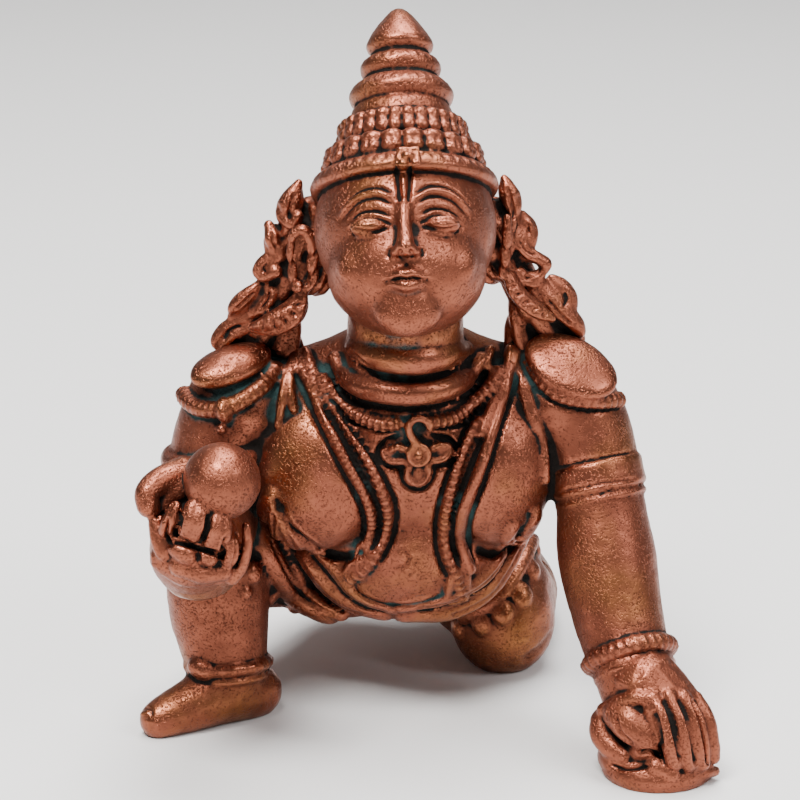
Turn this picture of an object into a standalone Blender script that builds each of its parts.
"""A small copper temple figure of a crawling child, cast in one piece: the left hand and left knee on the
ground, the right foot planted, the right hand raised with a ball of butter. Every form is fused into one
closed casting. Lengths below are in millimetres of the design and are turned into metres at the end."""

import math

import bmesh
import bpy
from mathutils import Matrix, Vector
from mathutils.bvhtree import BVHTree

# Driving size: the figure's height in metres, from the ground to the tip of the crown
FIGURE_HEIGHT = 0.075

# Fineness of the skin, in millimetres of the design, and of the finished facets
FLESH_VOXEL = 0.42
CAST_VOXEL = 0.3
FACETS = 9400

# A draped cord is broken where the body steps away by more than this
CORD_BREAK = 2.2

# Head: its centre, how far it leans back, and how far it leans to the figure's right
HEAD_CENTRE = Vector((0.6, 3.0, 53.7))
HEAD_TILT = math.radians(31)
HEAD_LEAN = math.radians(-2)
SKULL_RADII = (9.1, 9.2, 9.0)

# Front plane: ornaments are laid out on it and carried onto the body along the sight lines of one eye
EYE = Vector((0.0, -285.3, 130.7))
PLANE_CENTRE = Vector((0.0, 0.0, 38.0))
PLANE_UP = Vector((0.0, 0.309, 0.951))

# Crown, turned about the head's axis: (height above the head's centre, radius)
CROWN_PROFILE = (
    (24.3, 0.0), (23.9, 1.0), (22.9, 2.1), (21.9, 3.0), (21.0, 3.55), (20.4, 3.5), (20.0, 2.9),
    (19.6, 3.9), (19.0, 4.25), (18.4, 4.15), (18.0, 3.4), (17.4, 4.7), (16.4, 5.1), (15.4, 5.35),
    (14.6, 5.25), (13.9, 4.3), (13.4, 5.4), (12.6, 5.9), (11.5, 6.4), (10.6, 6.6), (9.0, 6.6), (5.0, 6.6),
)  # fmt: skip
FLUTES = 30
LOBES = 22


def head_frame():
    """The matrix from the head's own axes (x to the side, y to the back, z to the crown) to the design's."""
    turn = Matrix.Rotation(HEAD_LEAN, 4, "Y") @ Matrix.Rotation(-HEAD_TILT, 4, "X")
    return Matrix.Translation(HEAD_CENTRE) @ turn


def sight(u, v, depth):
    """The point at a depth y on the sight line through (u, v) of the front plane."""
    ray = PLANE_CENTRE + Vector((u, 0, 0)) + PLANE_UP * v - EYE
    return EYE + ray * ((depth - EYE.y) / ray.y)


def seen(points):
    """Rod points (x, y, z, radius) from front-plane ones (u, v, depth, radius)."""
    return [(*sight(u, v, depth), radius) for u, v, depth, radius in points]


def smooth_path(points, per_span=6):
    """A Catmull-Rom curve through points of any one dimension, as a list of such points."""
    pts = [Vector(p) for p in points]
    ends = [2 * pts[0] - pts[1], *pts, 2 * pts[-1] - pts[-2]]
    path = []
    for a, b, c, d in zip(ends, ends[1:], ends[2:], ends[3:]):
        for step in range(per_span):
            t = step / per_span
            path.append(
                0.5
                * (
                    2 * b
                    + (c - a) * t
                    + (2 * a - 5 * b + 4 * c - d) * t**2
                    + (3 * b - a - 3 * c + d) * t**3
                )
            )
    path.append(pts[-1])
    return path


def evaluated_mesh(obj):
    """A plain copy of an object's mesh with its modifiers applied."""
    bpy.context.view_layer.update()
    graph = bpy.context.evaluated_depsgraph_get()
    return bpy.data.meshes.new_from_object(obj.evaluated_get(graph))


class Clay:
    """A heap of overlapping closed shapes, which fuse() turns into one skin."""

    def __init__(self, base=None):
        self.mesh = bmesh.new()
        self.base = base
        self.skin = None
        if base is not None:
            body = bmesh.new()
            body.from_mesh(base.data)
            self.skin = BVHTree.FromBMesh(body)
            body.free()

    def ball(self, centre, radii, turn=Matrix.Identity(4), detail=20):
        """An ellipsoid."""
        place = Matrix.Translation(Vector(centre)) @ turn
        stretch = Matrix.Diagonal((*radii, 1.0))
        bmesh.ops.create_uvsphere(
            self.mesh, u_segments=detail, v_segments=detail // 2, radius=1.0, matrix=place @ stretch
        )

    def limb(self, points, per_span=6, sides=2):
        """A round rod through (x, y, z, radius) points, with domed ends."""
        path = smooth_path(points, per_span)
        data = bpy.data.curves.new("rod", "CURVE")
        data.dimensions = "3D"
        data.bevel_depth = 1.0
        data.bevel_resolution = sides
        data.use_fill_caps = True
        spline = data.splines.new("POLY")
        spline.points.add(len(path) - 1)
        for point, (x, y, z, radius) in zip(spline.points, path):
            point.co = (x, y, z, 1.0)
            point.radius = max(radius, 0.05)
        rod = bpy.data.objects.new("rod", data)
        bpy.context.scene.collection.objects.link(rod)
        self.add_object(rod)
        for x, y, z, radius in (path[0], path[-1]):
            self.ball((x, y, z), (max(radius, 0.05),) * 3, detail=12)

    def rods(self, *limbs):
        """Several rods given by front-plane points (u, v, depth, radius)."""
        for points in limbs:
            self.limb(seen(points))

    def ring(self, centre, axis, radius, thickness, flat=1.0):
        """A closed band round a limb; flat below one makes it oval across."""
        turn = Vector(axis).normalized().to_track_quat("Z", "Y").to_matrix().to_4x4()
        place = Matrix.Translation(Vector(centre)) @ turn
        count = 32
        points = []
        for step in range(count + 1):
            angle = 2 * math.pi * step / count
            spot = place @ Vector((radius * math.cos(angle), radius * flat * math.sin(angle), 0))
            points.append((*spot, thickness))
        self.limb(points, per_span=1)

    def turned(self, profile, frame, steps=64):
        """A solid of revolution about the frame's z axis, from (height, radius) pairs, top to bottom."""
        data = bpy.data.meshes.new("profile")
        spots = [(max(radius, 0.001), 0, height) for height, radius in profile]
        spots = [(0, 0, profile[0][0]), *spots, (0, 0, profile[-1][0])]
        data.from_pydata(spots, [(i, i + 1) for i in range(len(spots) - 1)], [])
        solid = bpy.data.objects.new("profile", data)
        bpy.context.scene.collection.objects.link(solid)
        solid.matrix_world = frame
        screw = solid.modifiers.new("turned", "SCREW")
        screw.steps = screw.render_steps = steps
        screw.use_merge_vertices = True
        screw.merge_threshold = 0.0001
        self.add_object(solid)

    def land(self, u, v):
        """Where the sight line through (u, v) meets the body, and the skin's direction there."""
        ray = PLANE_CENTRE + Vector((u, 0, 0)) + PLANE_UP * v - EYE
        spot, normal, _, _ = self.skin.ray_cast(EYE, ray.normalized())
        return spot, normal

    def pad(self, u, v, radii, angle=0.0):
        """An ellipsoid on the skin, its long and short half axes along the skin and its height across it."""
        spot, normal = self.land(u, v)
        turn = normal.to_track_quat("Z", "Y").to_matrix().to_4x4()
        self.ball(spot, radii, turn @ Matrix.Rotation(math.radians(angle), 4, "Z"))

    def drape(self, points, rise=0.35, per_span=8):
        """A cord laid on the body through front-plane points (u, v, radius), standing out by a share."""
        path = []
        for u, v, radius in smooth_path(points, per_span):
            spot, normal = self.land(u, v)
            broken = spot is None or (path and (Vector(path[-1][:3]) - spot).length > CORD_BREAK)
            if broken and len(path) > 1:
                self.limb(path, per_span=1)
            if broken:
                path = []
            if spot is not None:
                path.append((*(spot + normal * radius * rise), radius))
        if len(path) > 1:
            self.limb(path, per_span=1)

    def add_object(self, obj):
        """Takes in the evaluated mesh of an object, with its loose caps welded, and removes the object."""
        mesh = evaluated_mesh(obj)
        part = bmesh.new()
        part.from_mesh(mesh)
        bmesh.ops.remove_doubles(part, verts=part.verts, dist=0.001)
        bmesh.ops.recalc_face_normals(part, faces=part.faces)
        part.transform(obj.matrix_world)
        part.to_mesh(mesh)
        part.free()
        self.mesh.from_mesh(mesh)
        bpy.data.meshes.remove(mesh)
        bpy.data.objects.remove(obj)

    def fuse(self, name, voxel, smoothing):
        """One closed skin round the heap, as an object still in design millimetres."""
        data = bpy.data.meshes.new(name)
        if self.base is not None:
            self.mesh.from_mesh(self.base.data)
        self.mesh.to_mesh(data)
        self.mesh.free()
        skin = bpy.data.objects.new(name, data)
        bpy.context.scene.collection.objects.link(skin)
        remesh = skin.modifiers.new("one skin", "REMESH")
        remesh.mode = "VOXEL"
        remesh.voxel_size = voxel
        if smoothing:
            soften = skin.modifiers.new("soften", "SMOOTH")
            soften.factor = 0.5
            soften.iterations = smoothing
        skin.data = evaluated_mesh(skin)
        skin.modifiers.clear()
        return skin


def add_torso(clay):
    """The chest, the full belly and the hips, leaning forward over the hands."""
    clay.ball((0.5, 11.5, 28.8), (13.8, 9.2, 10.0), detail=32)
    clay.ball((-8.2, 7.2, 27.6), (6.9, 5.4, 8.2))
    clay.ball((9.3, 7.2, 28.1), (6.6, 5.4, 8.0))
    clay.limb([(-12, 10.5, 34.5, 5.0), (0.5, 12, 35.5, 6.2), (13, 10.5, 34.5, 5.0)])
    clay.ball((0.9, 14.6, 19.2), (12.6, 10.8, 9.9), detail=32)
    clay.limb([(0.5, 14, 29, 9), (0.5, 24, 22, 9.5), (0.5, 30, 16, 9)])
    clay.ball((-4.5, 31, 14.5), (8.5, 8.5, 9.5))
    clay.ball((5.5, 31, 14.5), (8.5, 8.5, 9.5))
    clay.rods([(-11, -18.8, 15, 2.2), (-8.2, -19.7, 14, 2.3), (-5.2, -19.9, 13, 2.1), (-2.5, -20, 12, 1.6)])


def add_neck(clay):
    """The neck, widening to the collar."""
    clay.limb([(0.5, 9.0, 35.0, 7.4), (0.5, 7.0, 40.5, 6.2), (0.6, 5.0, 46, 5.8)])
    for side, u, v in ((-1, -8.2, 5.9), (1, 8.9, 6.3)):
        slope = [(6.5, 4.6, 10.5, 3.2), (0.0, 3.4, 10.5, 3.4), (-4.5, 2.4, 10.0, 4.2)]
        clay.rods([(u + side * out, v - drop, depth, radius) for out, drop, depth, radius in slope])


def add_head(clay):
    """The skull, the jaw and the nape."""
    frame = head_frame()
    turn = frame.to_3x3().to_4x4()
    clay.ball(frame @ Vector((0, 0.6, 1.4)), SKULL_RADII, turn, 32)
    clay.ball(frame @ Vector((0, -1.4, -3.4)), (7.9, 7.2, 6.6), turn, 32)
    clay.limb([(0.6, 9.0, 54, 7.4), (0.5, 11.0, 47, 5.6), (0.5, 13.0, 39, 4.6)])
    nose = [(0, -8.5, 1.6, 0.7), (0, -8.9, 0.0, 0.8), (0, -9.3, -1.5, 1.05)]
    lips = [(-1.6, -7.9, -4.1, 0.5), (0, -8.6, -4.2, 0.6), (1.6, -7.9, -4.1, 0.5)]
    for line in (nose, lips):
        clay.limb([(*(frame @ Vector(point[:3])), point[3]) for point in line])
    for side in (-1, 1):
        clay.ball(frame @ Vector((side * 3.2, -7.9, 0.4)), (1.7, 0.9, 0.8), turn, 12)


def add_left_arm(clay):
    """The straight arm that carries the figure."""
    clay.limb(
        [
            (16.8, 9.8, 35.4, 5.5),
            (19.4, 8.5, 31.0, 4.8),
            (20.6, 6.5, 25.5, 4.6),
            (21.3, 4.3, 20.0, 5.1),
            (22.4, 1.2, 14.5, 4.7),
            (23.8, -2.4, 9.5, 4.1),
        ]
    )


def add_right_arm(clay):
    """The bent arm, whose elbow rests on the raised knee."""
    clay.limb([(-16.6, 9.8, 35.0, 5.4), (-18.7, 9.5, 30.5, 4.9), (-20.0, 9.0, 23.5, 5.1)])
    clay.limb([(-20.0, 9.0, 22.0, 5.3), (-20.3, 3.0, 22.0, 5.2), (-20.2, -4.0, 23.0, 4.8)])


def add_left_leg(clay):
    """The kneeling leg, its shin laid back along the ground."""
    clay.limb([(5.5, 30.0, 12.0, 8.2), (10.6, 24.5, 7.5, 6.6)])
    clay.ball((11.4, 22.8, 5.4), (5.8, 5.8, 6.6))
    clay.limb([(12.3, 25.5, 4.7, 4.8), (13.2, 34.0, 4.1, 4.7), (13.2, 42.0, 3.5, 3.9)])
    clay.limb([(13.2, 43.0, 3.4, 3.7), (12.3, 48.5, 2.9, 3.2), (11.0, 53.0, 2.2, 2.5)])


def add_right_leg(clay):
    """The raised knee, the shin and the planted foot, whose toes point outwards."""
    clay.limb([(-4.5, 29.0, 13.0, 8.2), (-12.0, 20.0, 15.0, 6.8), (-18.8, 12.0, 16.8, 5.9)])
    clay.limb([(-19.2, 11.0, 16.5, 5.6), (-19.1, 10.0, 11.0, 5.3), (-18.2, 8.4, 5.0, 4.2)])
    clay.limb([(-15.3, 9.4, 2.4, 2.9), (-19.0, 7.2, 3.0, 3.3), (-25.3, 3.6, 1.6, 2.2)])


def add_crown(clay):
    """The tiered crown: turned core, fluted tier, lobed tier and the head band."""
    frame = head_frame()
    clay.turned(CROWN_PROFILE, frame)
    for index in range(FLUTES):
        angle = 2 * math.pi * (index + 0.5) / FLUTES
        along = Vector((math.cos(angle), math.sin(angle), 0))
        ends = ((5.3, 13.2, 0.6), (6.0, 12.2, 0.85), (6.5, 10.8, 0.85))
        clay.limb([(*(frame @ (along * out + Vector((0, 0, high)))), r) for out, high, r in ends], 3)
    for index in range(LOBES):
        angle = 2 * math.pi * (index + 0.5) / LOBES
        along = Vector((math.cos(angle), math.sin(angle), 0))
        spot = frame @ (along * 7.3 + Vector((0, 0, 9.5)))
        turn = frame.to_3x3().to_4x4() @ Matrix.Rotation(angle, 4, "Z")
        clay.ball(spot, (1.0, 1.15, 1.6), turn, 12)
    axis = frame.to_3x3() @ Vector((0, 0, 1))
    for height, radius, thickness in ((7.7, 7.9, 0.9), (6.5, 8.5, 0.95), (5.6, 8.8, 0.6)):
        clay.ring(frame @ Vector((0, 0.4, height)), axis, radius, thickness)
    clay.ball(frame @ Vector((0.4, -8.6, 7.6)), (0.75, 0.7, 1.2))


def add_hair(clay):
    """Curled locks in flat wings from the temples to the shoulders, and the long ears."""
    clay.rods(
        [(-9.9, 21.4, 9.0, 0.7), (-10.6, 19.9, 9.0, 1.35), (-10.9, 18.2, 9.0, 1.4)],
        [(-11.6, 17.4, 9.2, 1.0), (-12.4, 16.2, 9.2, 1.25), (-12.2, 14.2, 9.2, 1.2)],
        [(-12.2, 14.0, 9.4, 1.1), (-13.5, 13.0, 9.4, 1.2), (-12.6, 11.8, 9.4, 1.3)],
        [(-13.8, 12.0, 9.6, 1.1), (-15.4, 10.0, 9.6, 1.5), (-16.5, 8.7, 9.6, 0.9)],
        [(-14.2, 8.6, 9.6, 1.3), (-16.8, 7.2, 9.8, 1.4), (-18.0, 5.6, 10.0, 1.0)],
        [(-9.0, 19.0, 9.5, 1.6), (-10.4, 14.0, 9.8, 2.4), (-12.0, 9.8, 10.0, 2.2), (-14.5, 6.6, 10.2, 2.0)],
        [(-8.3, 19.0, 8.5, 1.2), (-8.2, 15.0, 8.8, 1.9), (-8.6, 12.4, 9.2, 2.2)],
        [(-12.0, 9.4, 10.0, 2.0), (-11.2, 7.4, 10.2, 1.5), (-11.4, 5.4, 10.5, 2.0)],
        [(10.2, 21.8, 9.0, 0.7), (11.0, 20.0, 9.0, 1.25), (11.2, 18.2, 9.0, 1.2)],
        [(11.9, 18.0, 9.2, 0.9), (12.8, 16.8, 9.2, 1.05), (12.8, 14.9, 9.2, 1.1)],
        [(12.4, 14.8, 9.4, 1.1), (14.1, 13.7, 9.4, 1.1), (13.4, 12.2, 9.4, 1.2)],
        [(14.4, 11.8, 9.6, 1.1), (16.6, 10.6, 9.6, 1.2), (16.6, 8.6, 9.8, 1.2)],
        [(14.0, 11.2, 9.6, 1.3), (16.2, 8.6, 9.8, 1.4), (17.8, 6.2, 10.0, 1.1)],
        [(9.4, 19.0, 9.5, 1.5), (11.2, 14.0, 9.8, 2.1), (13.0, 9.8, 10.0, 2.1), (14.8, 6.6, 10.2, 2.0)],
        [(8.8, 19.0, 8.5, 1.2), (8.9, 15.2, 8.8, 1.7), (9.2, 13.4, 9.2, 2.0)],
        [(12.6, 9.6, 10.0, 1.9), (12.0, 7.6, 10.2, 1.6), (12.2, 5.6, 10.5, 2.1)],
    )
    clay.rods(
        [(-9.1, 12.2, 6.8, 0.85), (-8.9, 16.2, 6.2, 0.8), (-9.9, 16.9, 6.2, 0.75), (-10.8, 15.8, 6.6, 0.75),
         (-10.5, 12.4, 7.0, 0.75)],
        [(-9.2, 18.0, 8.6, 0.8), (-9.2, 12.0, 8.6, 1.0), (-9.7, 10.6, 8.6, 1.3)],
        [(-9.7, 10.4, 7.2, 1.1), (-10.9, 8.7, 6.8, 1.35), (-12.6, 7.5, 6.8, 1.15), (-14.6, 7.3, 7.2, 0.7)],
        [(10.2, 18.0, 6.6, 0.7), (10.5, 15.5, 6.4, 0.85), (10.2, 12.8, 6.8, 0.7)],
        [(9.8, 17.6, 8.6, 0.9), (10.4, 12.6, 8.6, 1.0), (11.0, 12.0, 8.0, 0.9)],
        [(11.4, 12.0, 7.0, 0.85), (12.1, 10.2, 6.6, 1.15), (13.8, 8.8, 6.8, 1.1), (15.1, 8.0, 7.2, 0.7)],
    )  # fmt: skip


def add_hands(clay):
    """The pressing left hand with the lump under it, and the right fist with its ball."""
    clay.limb([(24.1, -2.9, 9.3, 4.1), (25.2, -4.6, 7.0, 4.5), (25.6, -5.8, 5.6, 4.2)])
    clay.rods([(24.6, -28.4, -4.8, 3.9), (26.6, -30.2, -6.2, 3.4), (27.9, -31.5, -6.9, 3.1)])
    for index in range(4):
        side = 26.3 + 1.38 * index
        clay.rods([
            (side - 0.6, -30.2 + 0.1 * index, -8.2 + 0.7 * index, 1.0),
            (side + 0.6, -33.0, -9.9 + 0.7 * index, 1.1),
            (side + 1.0 - 0.2 * index, -36.3, -10.2 + 0.7 * index, 1.0),
        ])  # fmt: skip
    clay.rods(
        [(22.6, -30.6, -7.4, 2.3), (22.9, -32.6, -9.0, 2.3), (24.2, -34.2, -9.8, 1.6)],
        [(20.3, -32.0, -5.6, 1.5), (20.4, -34.0, -6.6, 1.4), (21.8, -35.7, -7.8, 1.2)],
        [(28.0, -37.4, -8.6, 0.8), (31.2, -37.2, -7.4, 0.7)],
    )
    clay.ball((26.2, -6.0, 0.9), (5.9, 5.4, 2.9))
    clay.ball(sight(-17.9, -8.4, -8.2), (3.9, 3.9, 3.9), detail=28)
    clay.limb([(-20.4, -4.5, 23.4, 4.8), (-20.0, -7.0, 25.3, 4.6)])
    clay.rods(
        [(-21.6, -8.0, -4.5, 2.2), (-24.2, -8.2, -6.8, 1.4), (-25.3, -9.6, -8, 1.3), (-25.1, -11, -8.4, 1.1)],
        [(-23.2, -11.0, -10.0, 0.8), (-24.0, -13.8, -9.6, 1.1), (-23.2, -16.2, -8.8, 1.4)],
        [(-20.6, -11.0, -11.4, 1.3), (-20.8, -13.2, -11.6, 1.35), (-21.4, -16.2, -10.2, 1.4)],
        [(-18.4, -11.8, -11.2, 1.2), (-18.6, -14.0, -11.4, 1.25), (-19.2, -16.8, -10.0, 1.4)],
        [(-16.8, -14.2, -10.6, 0.9), (-16.9, -16.0, -10.6, 1.1), (-18.0, -17.8, -9.4, 1.2)],
    )


def add_bands(clay):
    """The shoulder caps and the rings round the arms, the wrist and the ankle."""
    clay.pad(-17.1, 3.3, (4.1, 2.5, 1.5), 28)
    clay.pad(17.6, 3.0, (4.6, 3.3, 1.3), -32)
    clay.drape([(-21.4, 0.9, 0.8), (-20.8, -0.2, 0.85), (-19.4, -0.8, 0.9), (-17.5, -0.7, 0.9),
                (-15.5, 0.3, 0.9), (-13.8, 1.5, 0.85), (-12.5, 3.0, 0.8)])  # fmt: skip
    clay.drape([(12.3, 6.2, 0.6), (12.7, 4.4, 0.65), (13.8, 2.4, 0.65), (15.4, 0.7, 0.65), (17.3, 0.0, 0.65),
                (19.1, -0.2, 0.65), (21.2, -0.3, 0.6)])  # fmt: skip
    for height, radius in ((30.0, 5.0), (28.2, 5.0)):
        share = (31.0 - height) / 7.5
        clay.ring((-18.8 - 1.2 * share, 9.3, height), (-0.15, 0, 1.0), radius, 0.8)
    for centre, radius in (((20.3, 7.4, 27.8), 4.45), ((20.65, 6.6, 25.8), 4.45)):
        clay.ring(centre, (-0.22, 0.36, 1.0), radius, 0.68)
    clay.ring((23.5, -1.5, 11.0), (-0.3, 0.75, 1.0), 4.05, 0.9)
    clay.ring((24.0, -2.6, 9.6), (-0.3, 0.75, 1.0), 3.9, 0.65)
    clay.ring((-18.2, 8.6, 5.7), (-0.05, 0.2, 1.0), 4.1, 0.65)
    clay.ring((-18.2, 8.4, 4.5), (-0.05, 0.2, 1.0), 4.1, 0.65)


def add_ornaments(clay):
    """The neck folds, the collar, the pendant and the four long strands of the breast."""
    for height, radius, thick in ((42.0, 5.6, 1.0), (39.6, 6.2, 1.1)):
        clay.ring((0.5, 7.4 + (42 - height) * 0.35, height), (0, -0.45, 1.0), radius, thick)
    clay.drape([(-8.2, 3.4, 0.6), (-6.0, 0.2, 0.75), (-1.0, -1.5, 0.8), (3.6, -1.4, 0.8), (7.2, 0.4, 0.75),
                (9.6, 3.2, 0.6)])  # fmt: skip
    for side, line in (
        (-1, ((9.2, 3.5), (6.0, 1.1), (4.5, -3.4), (2.3, -7.5), (1.2, -11.6), (3.0, -15.5), (5.0, -19.0))),
        (-1, ((10.4, 2.8), (7.6, -1.6), (5.4, -5.4), (3.0, -10.0), (2.8, -12.6), (4.0, -15.6))),
        (1, ((9.4, 2.4), (7.6, -3.2), (5.6, -8.6), (4.5, -13.0), (4.8, -16.2), (5.6, -18.2))),
        (1, ((10.8, 2.2), (9.2, -3.6), (7.1, -9.6), (5.9, -14.0), (6.1, -17.6))),
    ):
        clay.drape([(side * u, v, 0.55) for u, v in line])
    hub, normal = clay.land(1.6, -5.2)
    clay.ball(hub + normal * 0.3, (1.1, 0.9, 1.1))
    for angle in (20, 90, 162, 235, 305):
        across = Vector((math.cos(math.radians(angle)), 0, math.sin(math.radians(angle))))
        petal = ((1.2, 0.5), (2.1, 0.75), (2.9, 0.45))
        clay.limb([(*(hub + across * out + normal * 0.1), radius) for out, radius in petal], 2)


def add_cloth(clay):
    """The waist edge, the hems over both thighs with their drops, and the folds behind."""
    clay.drape([(-13.4, -10.6, 0.7), (-11.0, -14.6, 0.8), (-7.4, -18.0, 0.8), (-2.0, -20.2, 0.7)])
    clay.drape([(-12.4, -10.6, 0.5), (-9.4, -14.4, 0.6), (-6.0, -17.6, 0.6), (-1.0, -19.6, 0.6)])
    clay.drape([(-14.2, -12.0, 0.6), (-12.6, -15.4, 0.7), (-9.6, -18.4, 0.7), (-4.6, -20.8, 0.6)])
    clay.drape([(14.2, -12.6, 0.7), (12.8, -15.4, 0.8), (9.4, -18.8, 0.8), (3.6, -21.6, 0.7)])
    clay.drape([(13.0, -13.0, 0.6), (11.2, -15.8, 0.7), (8.0, -18.4, 0.7), (2.4, -20.4, 0.6)])
    for u, v in ((12.6, -18.0), (11.6, -20.0), (9.6, -21.6), (7.0, -22.6), (-14.6, -17.2), (-7.6, -20.2)):
        spot, normal = clay.land(u, v)
        if spot is not None:
            clay.ball(spot + normal * 0.1, (1.05, 1.0, 0.9))
    waist = Vector((0, 0.78, -0.62))
    for shift in (0.0, 1.7):
        clay.ring(Vector((0.5, 21.5, 21.5)) + waist * shift, waist, 10.2 + 0.2 * shift, 0.7)
    clay.ring((-11.0, 20.6, 14.8), (-0.66, -0.74, 0.12), 6.9, 0.6)
    clay.ring((13.2, 33.0, 4.2), (0.04, 1.0, -0.07), 4.6, 0.6)


def keep_largest(obj):
    """Drops every loose crumb but the main body."""
    mesh = bmesh.new()
    mesh.from_mesh(obj.data)
    left = set(mesh.verts)
    islands = []
    while left:
        seed = left.pop()
        island, edge = {seed}, [seed]
        while edge:
            vert = edge.pop()
            for link in vert.link_edges:
                other = link.other_vert(vert)
                if other in left:
                    left.discard(other)
                    island.add(other)
                    edge.append(other)
        islands.append(island)
    main = max(islands, key=len)
    bmesh.ops.delete(mesh, geom=[v for v in mesh.verts if v not in main], context="VERTS")
    mesh.to_mesh(obj.data)
    mesh.free()


def apply(obj, modifier):
    """Bakes one modifier into the object's mesh."""
    obj.data = evaluated_mesh(obj)
    obj.modifiers.remove(modifier)


def build():
    """Clears the scene and models the casting."""
    for obj in list(bpy.data.objects):
        bpy.data.objects.remove(obj)
    flesh = Clay()
    for add in (add_torso, add_neck, add_head, add_left_arm, add_right_arm, add_left_leg, add_right_leg):
        add(flesh)
    body = flesh.fuse("flesh", FLESH_VOXEL, 7)
    cast = Clay(body)
    for add in (add_crown, add_hair, add_hands, add_bands, add_ornaments, add_cloth):
        add(cast)
    figure = cast.fuse("laddu_gopal", CAST_VOXEL, 1)
    bpy.data.objects.remove(body)
    keep_largest(figure)

    coarse = figure.modifiers.new("facets", "DECIMATE")
    coarse.ratio = FACETS / sum(len(p.vertices) - 2 for p in figure.data.polygons)
    apply(figure, coarse)

    parts = bpy.data.collections.new("laddu_gopal_figure")
    cutters = bpy.data.collections.new("cutters")
    for group in (parts, cutters):
        bpy.context.scene.collection.children.link(group)
    bpy.context.scene.collection.objects.unlink(figure)
    parts.objects.link(figure)

    block = bpy.data.meshes.new("ground")
    mesh = bmesh.new()
    under = Matrix.Translation((0, 20, -10)) @ Matrix.Diagonal((160, 160, 20, 1))
    bmesh.ops.create_cube(mesh, size=1.0, matrix=under)
    mesh.to_mesh(block)
    mesh.free()
    ground = bpy.data.objects.new("ground", block)
    cutters.objects.link(ground)
    ground.hide_render = True
    ground.display_type = "WIRE"
    flat = figure.modifiers.new("standing faces", "BOOLEAN")
    flat.operation = "DIFFERENCE"
    flat.solver = "EXACT"
    flat.object = ground
    apply(figure, flat)

    spots = [v.co for v in figure.data.vertices]
    low = Vector(min(c[i] for c in spots) for i in range(3))
    high = Vector(max(c[i] for c in spots) for i in range(3))
    scale = FIGURE_HEIGHT / (high.z - low.z)
    shift = Vector(((low.x + high.x) / 2, (low.y + high.y) / 2, low.z))
    figure.data.transform(Matrix.Scale(scale, 4) @ Matrix.Translation(-shift))
    ground.data.transform(Matrix.Scale(scale, 4) @ Matrix.Translation(-shift))
    print("scale", scale, "shift", tuple(shift), "size", tuple((high - low) * scale))

    copper = bpy.data.materials.new("copper")
    copper.use_nodes = True
    surface = copper.node_tree.nodes["Principled BSDF"]
    surface.inputs["Base Color"].default_value = (0.48, 0.18, 0.10, 1.0)
    surface.inputs["Metallic"].default_value = 1.0
    surface.inputs["Roughness"].default_value = 0.35
    figure.data.materials.clear()
    figure.data.materials.append(copper)
    return figure


build()
